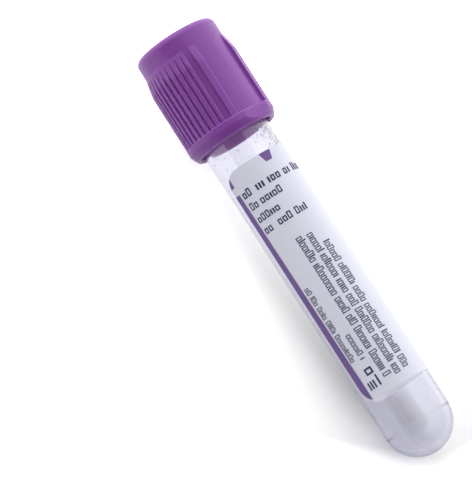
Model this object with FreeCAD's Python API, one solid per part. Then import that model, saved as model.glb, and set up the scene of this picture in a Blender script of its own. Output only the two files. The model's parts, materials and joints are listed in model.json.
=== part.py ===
import FreeCAD, Part
import math
import os

# Blood collection tube, 13 x 75 mm: a round-ended clear tube with a wrapped label, closed by a rubber
# stopper that sits in a ribbed plastic shield.
#
# Every piece is drawn upright, with the tube's axis on Z and the round end's tip at the origin. At the end
# the whole tube is laid down as it rests on a bench: on one flat of the shield's flange and on the round end.
# Lengths are millimetres and angles are degrees.

Vector = FreeCAD.Vector
AXIS = Vector(0, 0, 1)
MIDDLE_OF_ROUND = 1 - math.cos(math.radians(45))    # from a corner's sides to the middle of a unit round

# Tube
tube_length = 75.0
mouth_diameter = 13.0
taper = 0.25                        # how much slimmer the drafted wall is at its round end
tube_wall = 1.0
round_end_thickness = 1.2
lip_round = 0.3
parting_step = 0.04                 # witness step where the mould's round end met its straight wall

# Stopper
head_overhang = 0.5                 # how far the head stands out past the tube's mouth
head_height = 6.1
plug_length = 6.0
plug_clearance = 0.05               # between the plug and the tube's bore
plug_round = 0.6
dimple_diameter = 6.4               # the hollow that steers the needle to the middle
dimple_depth = 0.5
recess_diameter = 6.0
recess_depth = 3.6
recess_dome = 1.4

# Shield, inside
well_diameter = 7.8                 # the hole in the top, through which the needle reaches the stopper
well_depth = 5.0
well_mouth_round = 0.35
well_wall = 1.0
roof_thickness = 1.5
skirt_depth = 9.9                   # how far the skirt reaches down past the tube's mouth
skirt_clearance = 0.6               # between the skirt and the tube's mouth
skirt_lead_in = 0.3
bead_height = 0.8                   # ring under the stopper's head, which keeps it in the shield
bead_clearance = 0.25               # between the bead and the tube
grip_clearance = 0.02               # between the shield and the stopper

# Shield, outside
skirt_wall = 0.85
barrel_draft = 0.05                 # how much slimmer the barrel's radius is under its crown
crown_round = 1.2
rib_height = 0.6
rib_edge_round = 0.15
ramp_start = 3.7                    # below the top face, where the ribs rise out of the barrel
ramp_length = 3.3                   # from there to where they reach full height
ramp_bulge = 0.03                   # how far the ramps bow outwards
grip_burial = 0.2                   # how deep the grips' roots sit in the barrel's wall
flange_height = 2.75
flange_overhang = 0.06              # how far the flange stands out past the ribs
flange_top_round = 0.2
flange_corner_round = 0.5
flat_ledge = 0.15                   # how far the flange's flats stand out from the smooth panels
rim_width = 0.42                    # the narrow face round the skirt's mouth
bevel_height = 1.6                  # from the rim up to the flange's full width
bevel_bulge = 0.08

# Shield, around its axis
panel_angle = 52.0                  # each of the two smooth finger panels
broad_rib_angle = 8.5               # the rib on each side of a panel
broad_groove_angle = 9.5            # the groove beside it
groove_pitch_angle = 8.1
groove_angle = 3.1
grooves_per_side = 11
groove_depth = 0.48                 # narrow grooves, from the ribs' tips

# Label
label_below_skirt = 5.1
label_above_round_end = 6.65        # from the end of the straight wall
label_thickness = 0.1
adhesive_thickness = 0.01
window_angle = 52.0                 # the clear strip between the label's two long edges
window_direction = -129.0           # measured from the upper panel
label_corner_round = 3.2

# Dried additive
speck_count = 30
speck_radius = 0.55
speck_thickness = 0.16
additive_below_plug = 2.4
additive_length = 26.0              # the stretch of bore that was sprayed
golden_angle = 137.508

# Construction
past_end = 1.0                      # how far a cutting shape reaches past the piece that it cuts

# Radii that follow from the sizes above
mouth_radius = mouth_diameter / 2
wall_end_radius = mouth_radius - taper / 2
ball_radius = wall_end_radius - parting_step
bore_end_radius = wall_end_radius - tube_wall
head_radius = mouth_radius + head_overhang
well_radius = well_diameter / 2
skirt_radius = mouth_radius + skirt_clearance
barrel_radius = skirt_radius + skirt_wall
crown_radius = barrel_radius - barrel_draft
rib_radius = barrel_radius + rib_height
flange_radius = rib_radius + flange_overhang
flat_distance = barrel_radius + flat_ledge
rim_radius = skirt_radius + skirt_lead_in + rim_width

# Heights that follow from the sizes above
bore_ball_height = round_end_thickness + bore_end_radius
plug_end = tube_length - plug_length
head_top = tube_length + head_height
shield_top = head_top + well_depth
skirt_end = tube_length - skirt_depth
flange_top = skirt_end + flange_height
bevel_top = skirt_end + bevel_height
crown_foot = shield_top - crown_round
label_top = skirt_end - label_below_skirt
label_bottom = ball_radius + label_above_round_end
additive_top = plug_end - additive_below_plug


def outline(start, *moves):
    """A face bounded by moves from start: a point draws a line, and a (through, end) pair draws an arc."""
    edges = []
    here = start
    for move in moves + (start,):
        if isinstance(move, tuple):
            through, end = move
            edges.append(Part.Arc(here, through, end).toShape())
        else:
            end = move
            if not here.isEqual(end, 1e-6):
                edges.append(Part.LineSegment(here, end).toShape())
        here = end
    return Part.Face(Part.Wire(edges))


def at(radius, height):
    """A point of a turned profile."""
    return Vector(radius, 0, height)


def on_circle(radius, angle, height=0.0):
    """A point at an angle around the axis."""
    turn = math.radians(angle)
    return Vector(radius * math.cos(turn), radius * math.sin(turn), height)


def round_corner(centre_radius, centre_height, radius, angle):
    """A point on the round of a turned profile's edge."""
    turn = math.radians(angle)
    return at(centre_radius + radius * math.cos(turn), centre_height + radius * math.sin(turn))


def dome(rim_radius, rim_height, rise):
    """The arc from a dome's rim to its top on the axis, as (through, end). A negative rise makes a dish."""
    ball = (rim_radius ** 2 + rise ** 2) / (2 * rise)
    centre = rim_height + rise - ball
    halfway = math.asin(rim_radius / abs(ball)) / 2
    return at(abs(ball) * math.sin(halfway), centre + ball * math.cos(halfway)), at(0, rim_height + rise)


def turned(face):
    return face.revolve(Vector(0, 0, 0), AXIS, 360)


def between(low, high, share):
    return low + (high - low) * share


def wall_radius(height):
    """The tube's outer radius on its straight wall."""
    return between(wall_end_radius, mouth_radius, (height - ball_radius) / (tube_length - ball_radius))


def bore_radius(height):
    """The tube's inner radius on its straight wall."""
    share = (height - bore_ball_height) / (tube_length - bore_ball_height)
    return between(bore_end_radius, mouth_radius - tube_wall, share)


def barrel_surface(height):
    """The shield's outer radius between its ribs. It is drafted from the flange to the crown."""
    return between(barrel_radius, crown_radius, (height - flange_top) / (crown_foot - flange_top))


def make_tube():
    """Moulded in one shot: drafted wall, rounded lip, round end and the mould's fine parting step."""
    lip_height = tube_length - lip_round
    inner_lip = bore_radius(tube_length) + lip_round
    outer_lip = mouth_radius - lip_round
    return turned(outline(
        at(0, 0),
        (round_corner(0, ball_radius, ball_radius, -45), at(ball_radius, ball_radius)),
        at(wall_radius(ball_radius), ball_radius),
        at(wall_radius(lip_height), lip_height),
        (round_corner(outer_lip, lip_height, lip_round, 45), at(outer_lip, tube_length)),
        at(inner_lip, tube_length),
        (round_corner(inner_lip, lip_height, lip_round, 135), at(bore_radius(lip_height), lip_height)),
        at(bore_end_radius, bore_ball_height),
        (round_corner(0, bore_ball_height, bore_end_radius, -45), at(0, round_end_thickness)),
    ))


def make_stopper():
    """Rubber: a head held in the shield and closing its well, and a hollow plug in the tube's bore."""
    round_height = plug_end + plug_round
    plug_foot = bore_radius(plug_end) - plug_clearance - plug_round
    dimple_radius = dimple_diameter / 2
    recess_radius = recess_diameter / 2
    recess_rim = plug_end + recess_depth - recess_dome
    recess_round, recess_top = dome(recess_radius, recess_rim, recess_dome)
    return turned(outline(
        at(recess_radius, plug_end),
        at(plug_foot, plug_end),
        (round_corner(plug_foot, round_height, plug_round, -45),
         at(bore_radius(round_height) - plug_clearance, round_height)),
        at(bore_radius(tube_length) - plug_clearance, tube_length),
        at(head_radius, tube_length),
        at(head_radius, head_top),
        at(dimple_radius, head_top),
        dome(dimple_radius, head_top, -dimple_depth),
        recess_top,
        (recess_round, at(recess_radius, recess_rim)),
    ))


def rib_spans(side):
    """Start and end angle of each rib of one grip, between two panels. side is where the first panel is."""
    start = side + panel_angle / 2
    end = side + 180.0 - panel_angle / 2
    narrow_start = start + broad_rib_angle + broad_groove_angle
    first_groove = side + 90.0 - groove_pitch_angle * (grooves_per_side - 1) / 2
    spans = [(start, start + broad_rib_angle)]
    for index in range(grooves_per_side):
        middle = first_groove + index * groove_pitch_angle
        spans.append((narrow_start, middle - groove_angle / 2))
        narrow_start = middle + groove_angle / 2
    spans.append((narrow_start, end - broad_rib_angle - broad_groove_angle))
    spans.append((end - broad_rib_angle, end))
    return spans


def rib_tip(start, end):
    """Moves over one rib: up its side, round its edge, along its tip and down to the other edge."""
    turn = math.degrees(rib_edge_round / rib_radius)
    shoulder = rib_radius - rib_edge_round
    edge = rib_radius - rib_edge_round * MIDDLE_OF_ROUND
    return [
        on_circle(shoulder, start),
        (on_circle(edge, start + turn * MIDDLE_OF_ROUND), on_circle(rib_radius, start + turn)),
        (on_circle(rib_radius, (start + end) / 2), on_circle(rib_radius, end - turn)),
        (on_circle(edge, end - turn * MIDDLE_OF_ROUND), on_circle(shoulder, end)),
    ]


def make_grip(side):
    """One ribbed grip. Its root is buried in the barrel, and ramps let the ribs rise out of it."""
    root = barrel_radius - grip_burial
    back = root - grip_burial
    spans = rib_spans(side)
    floors = [root] + [rib_radius - groove_depth] * grooves_per_side + [root]
    moves = rib_tip(*spans[0])
    for floor, before, after in zip(floors, spans, spans[1:]):
        moves.append(on_circle(floor, before[1]))
        moves.append((on_circle(floor, (before[1] + after[0]) / 2), on_circle(floor, after[0])))
        moves.extend(rib_tip(*after))
    first = on_circle(back, spans[0][0])
    moves.append(on_circle(back, spans[-1][1]))
    moves.append((on_circle(back, side + 90.0), first))
    section = outline(first, *moves)
    section.translate(Vector(0, 0, bevel_top))
    bar = section.extrude(Vector(0, 0, shield_top - bevel_top))
    full_height = shield_top - ramp_start - ramp_length
    low = shield_top - ramp_start
    emerging = at(barrel_surface(low), low)
    halfway = (rib_radius + emerging.x) / 2
    steepness = ramp_length / (rib_radius - emerging.x)
    buried = at(back - past_end, low + steepness * (emerging.x - back + past_end))
    envelope = turned(outline(
        at(0, bevel_top),
        at(rib_radius + past_end, bevel_top),
        at(rib_radius + past_end, full_height),
        at(rib_radius, full_height),
        (at(halfway + ramp_bulge, low - ramp_length / 2), emerging),
        buried,
        at(0, buried.z),
    ))
    return bar.common(envelope)


def edges_at(shape, height):
    """The edges of a shape that lie flat at one height."""
    return [edge for edge in shape.Edges
            if abs(edge.BoundBox.ZMin - height) < 1e-4 and abs(edge.BoundBox.ZMax - height) < 1e-4]


def make_flange():
    """The ring at the skirt's foot: bevelled, with a flat under each panel that stops the tube rolling."""
    half = math.sqrt(flange_radius ** 2 - flat_distance ** 2)
    face = outline(
        Vector(flat_distance, -half, skirt_end),
        Vector(flat_distance, half, skirt_end),
        (Vector(0, flange_radius, skirt_end), Vector(-flat_distance, half, skirt_end)),
        Vector(-flat_distance, -half, skirt_end),
        (Vector(0, -flange_radius, skirt_end), Vector(flat_distance, -half, skirt_end)),
    )
    ring = face.extrude(Vector(0, 0, flange_height))
    upright = [edge for edge in ring.Edges if edge.BoundBox.ZLength > flange_height / 2
               and edge.BoundBox.XLength + edge.BoundBox.YLength < 1e-4]
    ring = ring.makeFillet(flange_corner_round, upright)
    ring = ring.makeFillet(flange_top_round, edges_at(ring, flange_top))
    bevel_middle = at((rim_radius + flange_radius) / 2 + bevel_bulge, skirt_end + bevel_height / 2)
    envelope = turned(outline(
        at(0, skirt_end),
        at(rim_radius, skirt_end),
        (bevel_middle, at(flange_radius, bevel_top)),
        at(flange_radius + past_end, bevel_top),
        at(flange_radius + past_end, flange_top + past_end),
        at(0, flange_top + past_end),
    ))
    return ring.common(envelope)


def make_shield_hollow():
    """The space inside the shield: lead-in, skirt, bead, pocket for the stopper's head, and the well."""
    bead_radius = mouth_radius + bead_clearance
    bead_top = tube_length - grip_clearance
    bead_foot = bead_top - bead_height
    pocket_radius = head_radius + grip_clearance
    roof = shield_top - roof_thickness
    sleeve_radius = well_radius + well_wall
    mouth = shield_top - well_mouth_round
    return turned(outline(
        at(0, skirt_end - past_end),
        at(skirt_radius + skirt_lead_in, skirt_end - past_end),
        at(skirt_radius + skirt_lead_in, skirt_end),
        at(skirt_radius, skirt_end + skirt_lead_in),
        at(skirt_radius, bead_foot - (skirt_radius - bead_radius)),
        at(bead_radius, bead_foot),
        at(bead_radius, bead_top),
        at(pocket_radius, bead_top),
        at(pocket_radius, roof),
        at(sleeve_radius, roof),
        at(sleeve_radius, head_top),
        at(well_radius, head_top),
        at(well_radius, mouth),
        (round_corner(well_radius + well_mouth_round, mouth, well_mouth_round, 135),
         at(well_radius + well_mouth_round, shield_top)),
        at(well_radius + well_mouth_round, shield_top + past_end),
        at(0, shield_top + past_end),
    ))


def make_shield():
    """Moulded plastic: the barrel with its crown, the two ribbed grips and the flange, hollowed out."""
    barrel = turned(outline(
        at(0, bevel_top),
        at(barrel_surface(bevel_top), bevel_top),
        at(crown_radius, crown_foot),
        (round_corner(crown_radius - crown_round, crown_foot, crown_round, 45),
         at(crown_radius - crown_round, shield_top)),
        at(0, shield_top),
    ))
    body = barrel.multiFuse([make_flange(), make_grip(0.0), make_grip(180.0)])
    return body.cut(make_shield_hollow()).removeSplitter()


def make_label():
    """Printed film wrapped round the tube. Its long edges leave a clear strip, and its corners are round."""
    top_radius = wall_radius(label_top) + adhesive_thickness
    bottom_radius = wall_radius(label_bottom) + adhesive_thickness
    wrap = turned(outline(
        at(bottom_radius, label_bottom),
        at(bottom_radius + label_thickness, label_bottom),
        at(top_radius + label_thickness, label_top),
        at(top_radius, label_top),
    ))

    def across(from_edge):
        """Sideways distance of a point that lies this far round the label from the strip's edge."""
        return mouth_radius * math.sin(math.radians(window_angle / 2) + from_edge / mouth_radius)

    diagonal = label_corner_round * MIDDLE_OF_ROUND
    side = [
        (across(label_corner_round), label_bottom - past_end),
        (across(label_corner_round), label_bottom),
        (across(diagonal), label_bottom + diagonal),
        (across(0), label_bottom + label_corner_round),
        (across(0), label_top - label_corner_round),
        (across(diagonal), label_top - diagonal),
        (across(label_corner_round), label_top),
        (across(label_corner_round), label_top + past_end),
    ]
    right = [Vector(0, y, z) for y, z in side]
    left = [Vector(0, -y, z) for y, z in reversed(side)]
    strip = outline(
        right[0], right[1], (right[2], right[3]), right[4], (right[5], right[6]), right[7],
        left[0], left[1], (left[2], left[3]), left[4], (left[5], left[6]), left[7],
    )
    window = strip.extrude(Vector(mouth_diameter, 0, 0))
    window.rotate(Vector(0, 0, 0), AXIS, window_direction)
    return wrap.cut(window)


def make_dried_additive():
    """Spray-dried specks on the wall of the bore, spread evenly below the plug. Each is a thin pad."""
    specks = []
    for index in range(speck_count):
        turn = index * golden_angle
        height = additive_top - additive_length * (index + 0.5) / speck_count
        outside = bore_radius(height - speck_radius)
        inside = outside - speck_thickness
        shell = turned(outline(
            at(inside, height - speck_radius),
            at(outside, height - speck_radius),
            at(bore_radius(height + speck_radius), height + speck_radius),
            at(inside, height + speck_radius),
        ))
        pad = Part.makeCylinder(speck_radius, mouth_radius, on_circle(0, turn, height), on_circle(1, turn))
        specks.append(shell.common(pad))
    return Part.makeCompound(specks)


def resting_place():
    """Lay the tube down along X, round end first, on the flange's flat and the end of the straight wall."""
    flats = [face.optimalBoundingBox() for face in make_flange().Faces if face.BoundBox.XLength < 1e-3]
    flat_end = flats[0].ZMin
    lean = math.atan2(flat_distance - wall_end_radius, flat_end - ball_radius)
    sin, cos = math.sin(lean), math.cos(lean)
    axis_height = wall_end_radius * cos - ball_radius * sin
    crown_end = -(crown_radius - crown_round) * sin - crown_foot * cos - crown_round
    round_end = ball_radius - ball_radius * cos
    shift = Vector(-(crown_end + round_end) / 2, 0, axis_height)
    return FreeCAD.Placement(shift, FreeCAD.Rotation(Vector(0, 1, 0), math.degrees(lean) - 90.0))


def main():
    os.makedirs("parts", exist_ok=True)
    pieces = {
        "tube": make_tube(),
        "label": make_label(),
        "dried_additive": make_dried_additive(),
        "stopper": make_stopper(),
        "closure_shield": make_shield(),
    }
    place = resting_place()
    for name, shape in pieces.items():
        laid = shape.copy()
        laid.Placement = place.multiply(laid.Placement)
        laid.exportStep("parts/" + name + ".step")
        print(name, "solids", len(laid.Solids), "volume %.2f" % laid.Volume, "valid", laid.isValid())


main()
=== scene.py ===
import json
import math
import random

import bmesh
import bpy
from mathutils import Matrix, Vector


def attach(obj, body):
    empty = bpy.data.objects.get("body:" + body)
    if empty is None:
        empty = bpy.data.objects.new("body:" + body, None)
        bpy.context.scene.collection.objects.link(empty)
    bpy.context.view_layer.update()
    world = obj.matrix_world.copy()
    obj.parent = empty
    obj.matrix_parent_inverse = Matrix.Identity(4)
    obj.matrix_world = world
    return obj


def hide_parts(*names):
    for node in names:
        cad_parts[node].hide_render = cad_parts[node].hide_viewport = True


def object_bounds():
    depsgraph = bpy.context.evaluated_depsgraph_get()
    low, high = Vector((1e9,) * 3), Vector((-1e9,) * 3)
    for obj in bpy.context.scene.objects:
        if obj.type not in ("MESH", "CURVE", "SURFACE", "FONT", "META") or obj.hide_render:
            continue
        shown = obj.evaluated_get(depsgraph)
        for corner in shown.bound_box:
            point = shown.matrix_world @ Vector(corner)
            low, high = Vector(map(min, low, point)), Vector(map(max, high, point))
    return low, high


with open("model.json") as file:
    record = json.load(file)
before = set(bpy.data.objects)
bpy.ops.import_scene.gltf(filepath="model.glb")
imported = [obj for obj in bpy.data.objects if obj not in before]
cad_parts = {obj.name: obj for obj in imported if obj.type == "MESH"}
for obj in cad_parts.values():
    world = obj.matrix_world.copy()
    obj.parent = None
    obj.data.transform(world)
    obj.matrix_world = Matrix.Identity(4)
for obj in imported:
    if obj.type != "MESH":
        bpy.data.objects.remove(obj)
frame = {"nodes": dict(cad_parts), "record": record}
solid_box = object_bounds()
scene = bpy.context.scene


# ---------------------------------------------------------------- closure shield
# The purple cap is one moulding in polyethylene, pushed over the stopper's head. Its surface is satin, a
# little waxy, with fine flow marks along the draw. Its edges, the tips of its ribs and the rim round its
# mouth are painted paler, a painted highlight where they would catch the light.

def new_material(name, **settings):
    """A material with a Principled shader. Settings are the shader's own sockets, with _ for a space."""
    material = bpy.data.materials.new(name)
    material.use_nodes = True
    shader = material.node_tree.nodes["Principled BSDF"]
    for socket, value in settings.items():
        shader.inputs[socket.replace("_", " ")].default_value = value
    return material, material.node_tree, shader


def dress(node, material):
    """Gives a CAD node its finish."""
    mesh = frame["nodes"][node].data
    mesh.materials.clear()
    mesh.materials.append(material)


def add_node(tree, kind, inputs=(), **settings):
    """A shader node. Each of its inputs, given with its socket, is a value or another node's output."""
    node = tree.nodes.new("ShaderNode" + kind)
    for setting, value in settings.items():
        setattr(node, setting, value)
    for socket, content in inputs:
        if isinstance(content, bpy.types.NodeSocket):
            tree.links.new(content, node.inputs[socket])
        else:
            node.inputs[socket].default_value = content
    return node


def worked_out(tree, operation, *values, **settings):
    """The result of a Math node."""
    return add_node(tree, "Math", enumerate(values), operation=operation, **settings).outputs[0]


def mixed(tree, kind, share, first, second):
    """Two values, vectors or colours mixed: this share of the second, and the rest of the first."""
    first_socket, result = {"FLOAT": (2, 0), "VECTOR": (4, 1), "RGBA": (6, 2)}[kind]
    inputs = (("Factor", share), (first_socket, first), (first_socket + 1, second))
    return add_node(tree, "Mix", inputs, data_type=kind).outputs[result]


def noise(tree, place, scale, detail):
    """A soft random pattern."""
    return add_node(tree, "TexNoise", (("Vector", place), ("Scale", scale), ("Detail", detail))).outputs["Fac"]


def new_group(name, inputs, outputs):
    """A node group with these sockets, the outputs of its input node, and its output node."""
    group = bpy.data.node_groups.new(name, "ShaderNodeTree")
    for socket, kind, value in inputs:
        group.interface.new_socket(socket, in_out="INPUT", socket_type=kind).default_value = value
    for socket, kind in outputs:
        group.interface.new_socket(socket, in_out="OUTPUT", socket_type=kind)
    return group, group.nodes.new("NodeGroupInput").outputs, group.nodes.new("NodeGroupOutput")


mottle_detail = 4
grain_detail = 3


def moulded_skin():
    """Node group: colour that drifts a little between shades, with its roughness and fine surface grain."""
    group, given, result = new_group("moulded_skin", (
        ("Colour", "NodeSocketColor", (0.5, 0.5, 0.5, 1)),
        ("Shade", "NodeSocketColor", (0.4, 0.4, 0.4, 1)),
        ("Mottle Scale", "NodeSocketFloat", 200.0),
        ("Grain Scale", "NodeSocketFloat", 4000.0),
        ("Roughness", "NodeSocketFloat", 0.35),
        ("Roughness Spread", "NodeSocketFloat", 0.08),
    ), (
        ("Colour", "NodeSocketColor"),
        ("Roughness", "NodeSocketFloat"),
        ("Grain", "NodeSocketFloat"),
    ))
    place = add_node(group, "TexCoord").outputs["Object"]
    mottle = noise(group, place, given["Mottle Scale"], mottle_detail)
    grain = noise(group, place, given["Grain Scale"], grain_detail)
    roughness = worked_out(group, "MULTIPLY_ADD", mottle, given["Roughness Spread"], given["Roughness"])
    group.links.new(mixed(group, "RGBA", mottle, given["Colour"], given["Shade"]), result.inputs["Colour"])
    group.links.new(roughness, result.inputs["Roughness"])
    group.links.new(grain, result.inputs["Grain"])
    return group


MOULDED_SKIN = moulded_skin()


def finish_with_skin(tree, shader, bump_height, **values):
    """Places the moulded_skin group in a material. Values are the group's own inputs."""
    skin = tree.nodes.new("ShaderNodeGroup")
    skin.node_tree = MOULDED_SKIN
    for socket, value in values.items():
        skin.inputs[socket.replace("_", " ")].default_value = value
    bump = add_node(tree, "Bump", (("Distance", bump_height), ("Height", skin.outputs["Grain"])))
    tree.links.new(skin.outputs["Colour"], shader.inputs["Base Color"])
    tree.links.new(skin.outputs["Roughness"], shader.inputs["Roughness"])
    tree.links.new(bump.outputs["Normal"], shader.inputs["Normal"])
    return skin, bump


shield_plastic, tree, shader = new_material(
    "shield_plastic", Specular_IOR_Level=0.5, Subsurface_Weight=0.6, Subsurface_Scale=0.0008,
    Subsurface_Radius=(1.0, 0.5, 1.0))
skin, bump = finish_with_skin(
    tree, shader, bump_height=0.00002,
    Colour=(0.284, 0.071, 0.415, 1), Shade=(0.257, 0.061, 0.385, 1),
    Mottle_Scale=160.0, Grain_Scale=5000.0, Roughness=0.33, Roughness_Spread=0.1)


def vector_result(tree, operation, *vectors):
    """The result of a Vector Math node: a value for a dot product or a length, otherwise a vector."""
    result = "Value" if operation in ("DOT_PRODUCT", "LENGTH") else "Vector"
    return add_node(tree, "VectorMath", enumerate(vectors), operation=operation).outputs[result]


bevel_samples = 6


def softened_edges_with_highlight():
    """Node group: a softened normal, and a mask that is 1 where an edge gets a painted highlight."""
    group, given, result = new_group("softened_edges_with_highlight", (
        ("Edge Radius", "NodeSocketFloat", 0.0001),
        ("Edge Strength", "NodeSocketFloat", 3.0),
    ), (
        ("Normal", "NodeSocketVector"),
        ("Mask", "NodeSocketFloat"),
    ))
    radius = ("Radius", given["Edge Radius"])
    softened = add_node(group, "Bevel", (radius,), samples=bevel_samples).outputs["Normal"]
    facing = add_node(group, "NewGeometry").outputs["Normal"]
    agree = vector_result(group, "DOT_PRODUCT", softened, facing)
    differ = worked_out(group, "SUBTRACT", 1.0, agree)
    mask = worked_out(group, "MULTIPLY", differ, given["Edge Strength"], use_clamp=True)
    group.links.new(softened, result.inputs["Normal"])
    group.links.new(mask, result.inputs["Mask"])
    return group


barrel = next(mount for mount in frame["record"]["mounts"] if mount["name"] == "tube_barrel")
down_the_tube = Vector(barrel["axis"])
shield_points = [vertex.co for vertex in frame["nodes"]["closure_shield"].data.vertices]
skirt_foot = max(point.dot(down_the_tube) for point in shield_points)
rib_tip = max((point - Vector(barrel["pos_m"])).cross(down_the_tube).length for point in shield_points)
edge_round_radius = 0.00025
edge_highlight_strength = 9.0
painted_highlight_colour = (0.48, 0.21, 0.62, 1)
highlight_depth = (0.0005, 0.0002)    # how far below the rib tips the painted highlight starts, and is full
sheltered_highlight = 0.25                # the share of it that reaches further down
rim_highlight_width = 0.0004
rim_highlight_level = 0.5


def ramp(tree, value, start, end, low=0.0, high=1.0, **settings):
    """What goes from low to high while the value goes from start to end."""
    inputs = (("Value", value), ("From Min", start), ("From Max", end), ("To Min", low), ("To Max", high))
    return add_node(tree, "MapRange", inputs, **settings).outputs["Result"]


def distance_from_axis(tree, place):
    """How far each point of a surface is from the tube's axis."""
    reach = vector_result(tree, "SUBTRACT", place, barrel["pos_m"])
    return vector_result(tree, "LENGTH", vector_result(tree, "CROSS_PRODUCT", reach, down_the_tube))


def distance_down(tree, place):
    """How far each point of a surface is along the tube, from the closure towards the round end."""
    return vector_result(tree, "DOT_PRODUCT", place, down_the_tube)


# Painted highlight: edges, rib tips and the rim are mixed towards a paler purple where they would catch the
# light.
edge_highlight = tree.nodes.new("ShaderNodeGroup")
edge_highlight.node_tree = softened_edges_with_highlight()
edge_highlight.inputs["Edge Radius"].default_value = edge_round_radius
edge_highlight.inputs["Edge Strength"].default_value = edge_highlight_strength
place = add_node(tree, "TexCoord").outputs["Object"]
near_rib_tips = ramp(tree, distance_from_axis(tree, place), rib_tip - highlight_depth[0], rib_tip - highlight_depth[1],
               low=sheltered_highlight)
rim_highlight = ramp(tree, distance_down(tree, place), skirt_foot - rim_highlight_width, skirt_foot - rim_highlight_width / 2,
              high=rim_highlight_level)
painted_highlight = worked_out(tree, "MAXIMUM", worked_out(tree, "MULTIPLY", edge_highlight.outputs["Mask"], near_rib_tips), rim_highlight)
tree.links.new(mixed(tree, "RGBA", painted_highlight, skin.outputs["Colour"], painted_highlight_colour), shader.inputs["Base Color"])
tree.links.new(edge_highlight.outputs["Normal"], bump.inputs["Normal"])


def mixed_shader(tree, share, first, second):
    """Two shaders mixed: this share of the second, and the rest of the first."""
    return add_node(tree, "MixShader", (("Fac", share), (1, first), (2, second))).outputs[0]


def set_surface(tree, surface):
    """Makes this shader the surface of the material."""
    tree.links.new(surface, tree.nodes["Material Output"].inputs["Surface"])


def soak_with_painted_glow(tree, shader, share, colour, painted_glow):
    """A share of the light soaks through the thin wall. Seen through the clear tube, the wall also gets a
    painted glow, an emission that stands in for more of that light.
    """
    leaving = add_node(tree, "BsdfTranslucent", (("Color", colour),)).outputs[0]
    soaked = mixed_shader(tree, share, shader.outputs[0], leaving)
    painted_glow_shader = add_node(tree, "Emission", (("Color", painted_glow),)).outputs[0]
    with_painted_glow = add_node(tree, "AddShader", ((0, soaked), (1, painted_glow_shader))).outputs[0]
    path = add_node(tree, "LightPath").outputs
    set_surface(tree, mixed_shader(tree, path["Is Transmission Ray"], soaked, with_painted_glow))


# Painted light: seen through the clear tube, the shield's inside glows faintly purple.
soak_with_painted_glow(tree, shader, share=0.1, colour=(0.6, 0.2, 0.75, 1), painted_glow=(0.15, 0.065, 0.16, 1))
dress("closure_shield", shield_plastic)


# ---------------------------------------------------------------- stopper
# Butyl rubber, moulded in one piece: a head held in the shield and a hollow plug in the tube's mouth. Its
# surface is matte, with a fine grain from the mould.

stopper_rubber, tree, shader = new_material("stopper_rubber", Specular_IOR_Level=0.35)
finish_with_skin(
    tree, shader, bump_height=0.00004,
    Colour=(0.26, 0.17, 0.29, 1), Shade=(0.21, 0.135, 0.24, 1),
    Mottle_Scale=300.0, Grain_Scale=3000.0, Roughness=0.6, Roughness_Spread=0.15)
dress("stopper", stopper_rubber)


# ---------------------------------------------------------------- tube
# Clear polyester, injection moulded and drafted, with a fine, slightly frosted parting step where the round
# end begins. A thick edge of it looks grey violet, because it takes a little light away on every millimetre.

mm_per_m = 1000
label_length = barrel["dims"]["length_mm"]
label_top = Vector(barrel["pos_m"]) - down_the_tube * label_length / (2 * mm_per_m)
gate_radius = 0.00045               # the flat where the plastic was let in, in the middle of the round end
seam_below_label = 0.00665
seam_width = 0.0004
seam_height = 0.00006
seam_start = label_top.dot(down_the_tube) + label_length / mm_per_m + seam_below_label
wall_roughness = 0.03
seam_roughness = 0.22
tint_per_metre = 130.0
edge_on_from = 0.3                  # 0 faces the view, and 1 stands edge on
passed_edge_on = 0.45

tube_plastic, tree, shader = new_material(
    "tube_plastic", Transmission_Weight=1.0, IOR=1.57, Base_Color=(0.98, 0.98, 0.99, 1))
tint = add_node(tree, "VolumeAbsorption", (("Color", (0.02, 0.0, 0.42, 1)), ("Density", tint_per_metre)))
tree.links.new(tint.outputs[0], tree.nodes["Material Output"].inputs["Volume"])

place = add_node(tree, "TexCoord").outputs["Object"]
down = distance_down(tree, place)
facing = add_node(tree, "NewGeometry").outputs
at_gate = worked_out(tree, "LESS_THAN", distance_from_axis(tree, place), gate_radius)
wall = mixed(tree, "VECTOR", at_gate, facing["Normal"], facing["True Normal"])
past_seam = ramp(tree, down, seam_start, seam_start + seam_width, interpolation_type="SMOOTHSTEP")
step = add_node(tree, "Bump", (("Distance", seam_height), ("Height", past_seam), ("Normal", wall)), invert=True)
tree.links.new(step.outputs["Normal"], shader.inputs["Normal"])
in_seam = worked_out(tree, "COMPARE", down, seam_start + seam_width / 2, seam_width / 2)
tree.links.new(ramp(tree, in_seam, 0.0, 1.0, wall_roughness, seam_roughness), shader.inputs["Roughness"])

# Lamps and bounced light pass straight through the clear wall, less of them where it stands edge on.
edge_on = add_node(tree, "LayerWeight").outputs["Facing"]
passed = ramp(tree, edge_on, edge_on_from, 1.0, 1.0, passed_edge_on)
straight_through = add_node(tree, "BsdfTransparent", (("Color", passed),)).outputs[0]
path = add_node(tree, "LightPath").outputs
surface = shader.outputs[0]
for ray in ("Is Shadow Ray", "Is Diffuse Ray"):
    surface = mixed_shader(tree, path[ray], surface, straight_through)
set_surface(tree, surface)
dress("tube", tube_plastic)


# ---------------------------------------------------------------- label
# Printed polymer film, wrapped round the straight wall and leaving a clear strip between its long edges. The
# film lets a little light through. Its ink is a purple and a thin dark blue.

label_film, tree, shader = new_material("label_film", Specular_IOR_Level=0.4)
finish_with_skin(
    tree, shader, bump_height=0.00002,
    Colour=(0.79, 0.80, 0.915, 1), Shade=(0.765, 0.775, 0.89, 1),
    Mottle_Scale=120.0, Grain_Scale=6000.0, Roughness=0.4, Roughness_Spread=0.1)
# Painted light: seen through the clear tube, the back of the film glows pale.
soak_with_painted_glow(tree, shader, share=0.08, colour=(0.85, 0.85, 0.92, 1), painted_glow=(0.62, 0.61, 0.59, 1))
dress("label", label_film)

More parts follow.
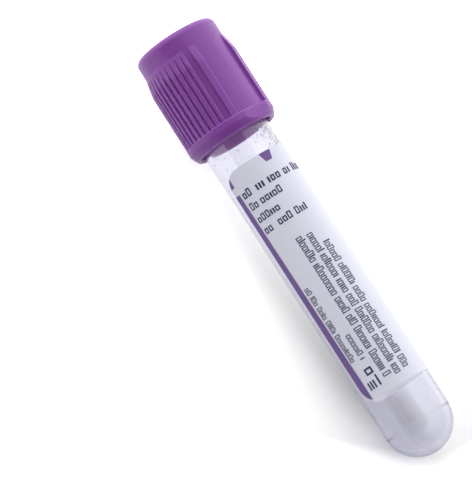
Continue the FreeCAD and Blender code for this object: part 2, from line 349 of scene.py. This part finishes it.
across = Vector((0, 1, 0))
upward = across.cross(down_the_tube)
if upward.z < 0:
    upward = -upward


def along_and_out(point):
    """How far a point is down the label from its top, its distance from the axis (both mm) and its angle."""
    reach = (point - label_top) * mm_per_m
    return (reach.dot(down_the_tube), math.hypot(reach.dot(upward), reach.dot(across)),
            math.atan2(reach.dot(across), reach.dot(upward)))


# In this section and the next, distances are in millimetres: round the film from its near edge, and down it
# from its top. The near edge follows the clear strip, which is the widest gap between the film's angles.
foot_share = 0.95
ink_lift = 0.02
wrap = [along_and_out(vertex.co) for vertex in frame["nodes"]["label"].data.vertices]
angles = sorted(angle for down, out, angle in wrap)
label_edge = max((after - before, after) for before, after in zip(angles, angles[1:]))[1]
top_radius = max(out for down, out, angle in wrap if down < label_length / 2)
foot_radius = max(out for down, out, angle in wrap if down > label_length * foot_share)


def on_label(around, down):
    """The point on the ink's face that lies so far round the film and so far down it."""
    radius = top_radius + (foot_radius - top_radius) * down / label_length + ink_lift
    angle = label_edge + around / radius
    spoke = upward * math.cos(angle) + across * math.sin(angle)
    return label_top + down_the_tube * down / mm_per_m + spoke * radius / mm_per_m


def ink_patch(mesh, around, down, step):
    """A patch of ink between two distances round the film. Each can change with the distance down."""
    low, high = around
    rows = max(1, math.ceil((down[1] - down[0]) / step))
    columns = max(1, math.ceil((high(down[0]) - low(down[0])) / step))
    grid = []
    for row in range(rows + 1):
        here = down[0] + (down[1] - down[0]) * row / rows
        grid.append([mesh.verts.new(on_label(low(here) + (high(here) - low(here)) * column / columns, here))
                     for column in range(columns + 1)])
    for row, below in zip(grid, grid[1:]):
        for left, right, right_below, left_below in zip(row, row[1:], below[1:], below):
            mesh.faces.new((left, right, right_below, left_below))


def new_piece(name, mesh, material):
    """Makes a mesh a piece of the scene, with its finish."""
    shape = bpy.data.meshes.new(name)
    mesh.to_mesh(shape)
    mesh.free()
    shape.materials.append(material)
    piece = bpy.data.objects.new(name, shape)
    scene.collection.objects.link(piece)
    return piece


purple_ink, tree, shader = new_material("purple_ink", Specular_IOR_Level=0.3)
finish_with_skin(
    tree, shader, bump_height=0.00001,
    Colour=(0.215, 0.115, 0.37, 1), Shade=(0.15, 0.1, 0.29, 1),
    Mottle_Scale=400.0, Grain_Scale=6000.0, Roughness=0.4, Roughness_Spread=0.1)

corner = 3.2
stripe_width = 1.25
stripe_skew = 0.012
stripe_breaks = (2.5, 4.0)
stripe_step = 0.2
stripe_tip = 1.0
tab_places = (8.5, 10.9)
tab_reach = (0.02, 1.8)
tab_slope = 0.3
tab_step = 0.3


def film_edge(down):
    """Where the film's near edge stands at this distance down, drawn in by its rounded corners."""
    from_end = min(down, label_length - down)
    if from_end >= corner:
        return 0.0
    return corner - math.sqrt(max(0.0, corner ** 2 - (corner - from_end) ** 2))


def stripe_side(down):
    """Where the stripe's far side stands at this distance down."""
    return max(film_edge(down), stripe_width + stripe_skew * (down - corner))


stripe_start = corner - math.sqrt(corner ** 2 - (corner - stripe_width) ** 2)
stripe_foot_width = stripe_side(label_length - stripe_tip)
stripe_end = label_length - corner + math.sqrt(corner ** 2 - (corner - stripe_foot_width) ** 2)
stripe = bmesh.new()
for stretch in ((stripe_start, stripe_breaks[0]), (stripe_breaks[1], stripe_end)):
    ink_patch(stripe, (film_edge, stripe_side), stretch, stripe_step)
ink_patch(stripe, (lambda down: tab_places[0] + tab_slope * down,
                   lambda down: tab_places[1] - tab_slope * down), tab_reach, tab_step)
label_stripe = new_piece("label_stripe", stripe, purple_ink)
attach(label_stripe, "tube_body")

blue_ink, tree, shader = new_material("blue_ink", Specular_IOR_Level=0.3)
finish_with_skin(
    tree, shader, bump_height=0.00001,
    Colour=(0.055, 0.055, 0.15, 1), Shade=(0.04, 0.04, 0.12, 1),
    Mottle_Scale=900.0, Grain_Scale=6000.0, Roughness=0.45, Roughness_Spread=0.1)

chance = random.Random(7)
print_step = 0.5
marks_in_word = (2, 9)
word_gap = 0.6                      # of the pitch
low_mark = 0.74                     # of the height
tall_share = 0.3
solid_share = 0.35
solid_width = 1.4                   # this and the next two in strokes
solid_pitch = 2.2
mark_gap = 0.8


def row_of_marks(start, end, pitch, height, stroke):
    """Word-long runs of plain hollow and solid boxes, each given as its ends along the row and up it."""
    place = start
    while place + pitch <= end:
        for mark in range(chance.randint(*marks_in_word)):
            if place + pitch > end:
                break
            tall = height if chance.random() < tall_share else height * low_mark
            if chance.random() < solid_share:
                yield place, place + stroke * solid_width, 0.0, tall
                place += stroke * solid_pitch
                continue
            wide = pitch - stroke * mark_gap
            yield place, place + stroke, 0.0, tall
            yield place + wide - stroke, place + wide, 0.0, tall
            yield place + stroke, place + wide - stroke, 0.0, stroke
            yield place + stroke, place + wide - stroke, tall - stroke, tall
            place += pitch
        place += pitch * word_gap


def ink_box(near, far, top, foot):
    """A box of print between two distances round the film and two down it."""
    ink_patch(print_rows, (lambda down: near, lambda down: far), (top, foot), print_step)


print_rows = bmesh.new()
rows_round_the_film = (             # foot, height, start, end, pitch, stroke
    (5.3, 1.5, 1.8, 4.3, 1.1, 0.28),
    (5.3, 1.5, 5.0, 17.0, 1.05, 0.28),
    (7.7, 1.4, 1.9, 4.0, 1.0, 0.24),
    (7.7, 1.4, 4.4, 9.1, 1.0, 0.24),
    (10.2, 1.3, 1.8, 7.0, 1.0, 0.24),
    (12.5, 1.4, 1.8, 4.4, 1.0, 0.24),
    (12.5, 1.4, 5.0, 11.7, 1.0, 0.24),
)
rows_down_the_film = (              # foot, height, start, end, pitch, stroke
    (9.8, 1.5, 18.9, 45.4, 0.78, 0.175),
    (7.9, 1.5, 16.4, 45.4, 0.78, 0.175),
    (5.9, 1.5, 16.0, 45.4, 0.8, 0.175),
    (4.0, 1.2, 34.9, 40.5, 0.78, 0.165),
    (2.0, 1.2, 24.2, 40.5, 0.7, 0.155),
)
fill_mark = (                       # near, far, top, foot
    (3.4, 4.9, 41.5, 41.85), (3.4, 4.9, 42.45, 42.8), (3.4, 3.75, 41.85, 42.45), (4.55, 4.9, 41.85, 42.45),
    (2.5, 2.85, 43.8, 45.3), (3.1, 3.45, 43.8, 45.3), (3.7, 4.05, 43.8, 45.3), (4.6, 4.95, 43.2, 45.3),
)
for foot, height, start, end, pitch, stroke in rows_round_the_film:
    for left, right, low, high in row_of_marks(start, end, pitch, height, stroke):
        ink_box(left, right, foot - high, foot - low)
for foot, height, start, end, pitch, stroke in rows_down_the_film:
    for left, right, low, high in row_of_marks(start, end, pitch, height, stroke):
        ink_box(foot + low, foot + high, left, right)
for box in fill_mark:
    ink_box(*box)
label_print = new_piece("label_print", print_rows, blue_ink)
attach(label_print, "tube_body")


# ---------------------------------------------------------------- dried additive
# An anticoagulant salt, sprayed on the wall of the bore and dried in place. It shows as fine pale grey flakes
# that thin out towards the round end and lie mostly on one side.

additive, tree, shader = new_material("additive_salt")
finish_with_skin(
    tree, shader, bump_height=0.00002,
    Colour=(0.5, 0.49, 0.53, 1), Shade=(0.38, 0.37, 0.41, 1),
    Mottle_Scale=900.0, Grain_Scale=3000.0, Roughness=0.7, Roughness_Spread=0.1)

flake_count = 2400
flake_corners = 6
smallest_flake = 0.05
flake_growth = 0.08
corner_reach = (0.6, 1.2)
crowding = 2                        # sets most flakes near the top, and most of them small
stray_share = 0.12
thick_side = (0.3, 0.26)            # middle and spread of the flakes' angle
into_wall = 0.02
spray = [along_and_out(vertex.co) for vertex in frame["nodes"]["dried_additive"].data.vertices]
spray_top = min(down for down, out, angle in spray)
spray_foot = max(down for down, out, angle in spray)
flake_radius = max(out for down, out, angle in spray) + into_wall
chance = random.Random(21)
flakes = bmesh.new()
for number in range(flake_count):
    down = spray_top + (spray_foot - spray_top) * chance.random() ** crowding
    angle = chance.uniform(0, math.tau) if chance.random() < stray_share else chance.gauss(*thick_side)
    size = smallest_flake + flake_growth * chance.random() ** crowding
    spoke = upward * math.cos(angle) + across * math.sin(angle)
    sideways = across * math.cos(angle) - upward * math.sin(angle)
    middle = label_top + down_the_tube * down / mm_per_m
    rim = []
    for point in range(flake_corners):
        bearing = math.tau * point / flake_corners
        reach = size * chance.uniform(*corner_reach)
        slip = sideways * math.cos(bearing) * reach + down_the_tube * math.sin(bearing) * reach
        rim.append(flakes.verts.new(middle + (spoke * flake_radius + slip) / mm_per_m))
    flakes.faces.new(rim)
additive_flakes = new_piece("additive_flakes", flakes, additive)
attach(additive_flakes, "tube_body")
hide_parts("dried_additive")


# ---------------------------------------------------------------- bench
# A plain white ground that takes the soft shadow. Straight on, painted light lifts it to white beside the cap,
# and again past a slanted line at the round end, which takes its shadow away there. Through the clear wall it
# has painted levels of its own, and a painted band of shade that grows towards the round end.

bench_size = 2.0
bench_lift = (1.0, 0.0)             # this and the next three: beside the cap, and at the round end
bench_lift_in_gloss = (1.0, 0.0)
bench_lift_through = (1.41, 0.18)
bench_white_through = (0.0, 0.79)
band_depth = (0.0, 0.3)
band_edges = ((0.0013, 0.0018), (0.005, 0.0095))
band_fade = (0.008, 0.002)          # short of the tip
band_left_at_tip = 0.3
end_lift = 0.4
end_slant = 0.67
end_slant_limit = 0.005
end_reach = (0.003, 0.0005)         # short of the tip, and past it
tip = solid_box[1][0]

ground_mesh = bpy.data.meshes.new("bench")
corners = [(x * bench_size, y * bench_size, 0.0) for x, y in ((-1, -1), (1, -1), (1, 1), (-1, 1))]
ground_mesh.from_pydata(corners, [], [(0, 1, 2, 3)])
bench = bpy.data.objects.new("bench", ground_mesh)
scene.collection.objects.link(bench)
bench_white, tree, shader = new_material("bench_white", Base_Color=(0.82, 0.82, 0.82, 1), Roughness=0.6)
place = add_node(tree, "TexCoord").outputs["Object"]
along = add_node(tree, "SeparateXYZ", ((0, place),)).outputs


def along_the_part(levels):
    """A level that changes steadily from under the cap to under the round end."""
    return ramp(tree, along["X"], solid_box[0][0], tip, *levels)


# Painted shade: a band along the ground behind the tube, seen only through the clear wall.
band_start, band_end = (ramp(tree, along["Y"], *edge) for edge in band_edges)
in_band = worked_out(tree, "SUBTRACT", band_start, band_end)
band = worked_out(tree, "MULTIPLY", in_band, along_the_part(band_depth))
fade = ramp(tree, along["X"], tip - band_fade[0], tip - band_fade[1], 1.0, band_left_at_tip)
white_through = worked_out(tree, "SUBTRACT", along_the_part(bench_white_through),
                           worked_out(tree, "MULTIPLY", band, fade))
# Painted light: past a slanted line at the round end the ground is lifted to white.
near_side = worked_out(tree, "MINIMUM", along["Y"], end_slant_limit)
past_end = worked_out(tree, "MULTIPLY_ADD", near_side, -end_slant, along["X"])
end_glare = ramp(tree, past_end, tip - end_reach[0], tip + end_reach[1], high=end_lift)
lift_seen = worked_out(tree, "ADD", along_the_part(bench_lift), end_glare)

plain_white = add_node(tree, "BsdfDiffuse", (("Color", (0.97, 0.97, 0.97, 1)),))
white_with_shadow = add_node(tree, "BsdfDiffuse", (("Color", white_through),))
path = add_node(tree, "LightPath").outputs
surface = shader.outputs[0]
for ray, ground, level in (
    ("Is Glossy Ray", shader, along_the_part(bench_lift_in_gloss)),
    ("Is Transmission Ray", white_with_shadow, along_the_part(bench_lift_through)),
    ("Is Camera Ray", plain_white, lift_seen),
):
    lift = add_node(tree, "Emission", (("Strength", level),)).outputs[0]
    lifted = add_node(tree, "AddShader", ((0, ground.outputs[0]), (1, lift))).outputs[0]
    surface = mixed_shader(tree, path[ray], surface, lifted)
set_surface(tree, surface)
ground_mesh.materials.append(bench_white)


# ---------------------------------------------------------------- camera
# A long lens from the front, 45 degrees up, rolled so that the tube runs down across the picture. It has no
# shift and no depth of field.

view_centre = Vector((-0.007236, -0.0069, 0.000942))
view_azimuth = 11.152
view_elevation = 45.125
view_roll = 48.301
view_distance = 0.67804
lens = 289.93

camera = bpy.data.objects.new("camera", bpy.data.cameras.new("camera"))
camera.data.lens = lens
turn = (Matrix.Rotation(math.radians(view_azimuth), 4, "Z")
        @ Matrix.Rotation(math.radians(90.0 - view_elevation), 4, "X"))
camera.matrix_world = (Matrix.Translation(view_centre) @ turn
                       @ Matrix.Translation((0, 0, view_distance))
                       @ Matrix.Rotation(math.radians(view_roll), 4, "Z"))
scene.collection.objects.link(camera)
scene.camera = camera
scene.view_settings.view_transform = "Standard"


# ---------------------------------------------------------------- light
# A white tent: bright behind and above, dimmer in front, with a dark opening in front through which the part
# is seen. Straight views past the bench are plain white.

tent_level = 1.02
tent_rise = Vector((-0.92, 0.54, 0.0))
tent_gloss = 1.1
opening_middle = Vector((0, -0.2, 0.98))
opening_edge = (0.74, 0.79)         # where its soft edge starts, and where it is fully open
opening_level = 0.08
opening_level_through = 0.4

world = bpy.data.worlds.new("surround")
scene.world = world
world.use_nodes = True
tree = world.node_tree
place = add_node(tree, "TexCoord").outputs["Generated"]


def toward(direction):
    """How much each part of the surround lies in this direction."""
    return vector_result(tree, "DOT_PRODUCT", place, direction)


slope = worked_out(tree, "ADD", toward(tent_rise), tent_level)
opening = ramp(tree, toward(turn.to_3x3() @ opening_middle), *opening_edge,
               tent_gloss, tent_gloss * opening_level, interpolation_type="SMOOTHSTEP")
in_gloss = worked_out(tree, "MULTIPLY", slope, opening)
through = ramp(tree, opening, tent_gloss * opening_level, tent_gloss,
               tent_gloss * opening_level_through, tent_gloss)
path = add_node(tree, "LightPath").outputs
strength = slope
for ray, level in (("Is Glossy Ray", in_gloss), ("Is Transmission Ray", through), ("Is Camera Ray", 1.0)):
    strength = mixed(tree, "FLOAT", path[ray], strength, level)
background = tree.nodes["Background"]
background.inputs["Color"].default_value = (1, 1, 1, 1)
tree.links.new(strength, background.inputs["Strength"])
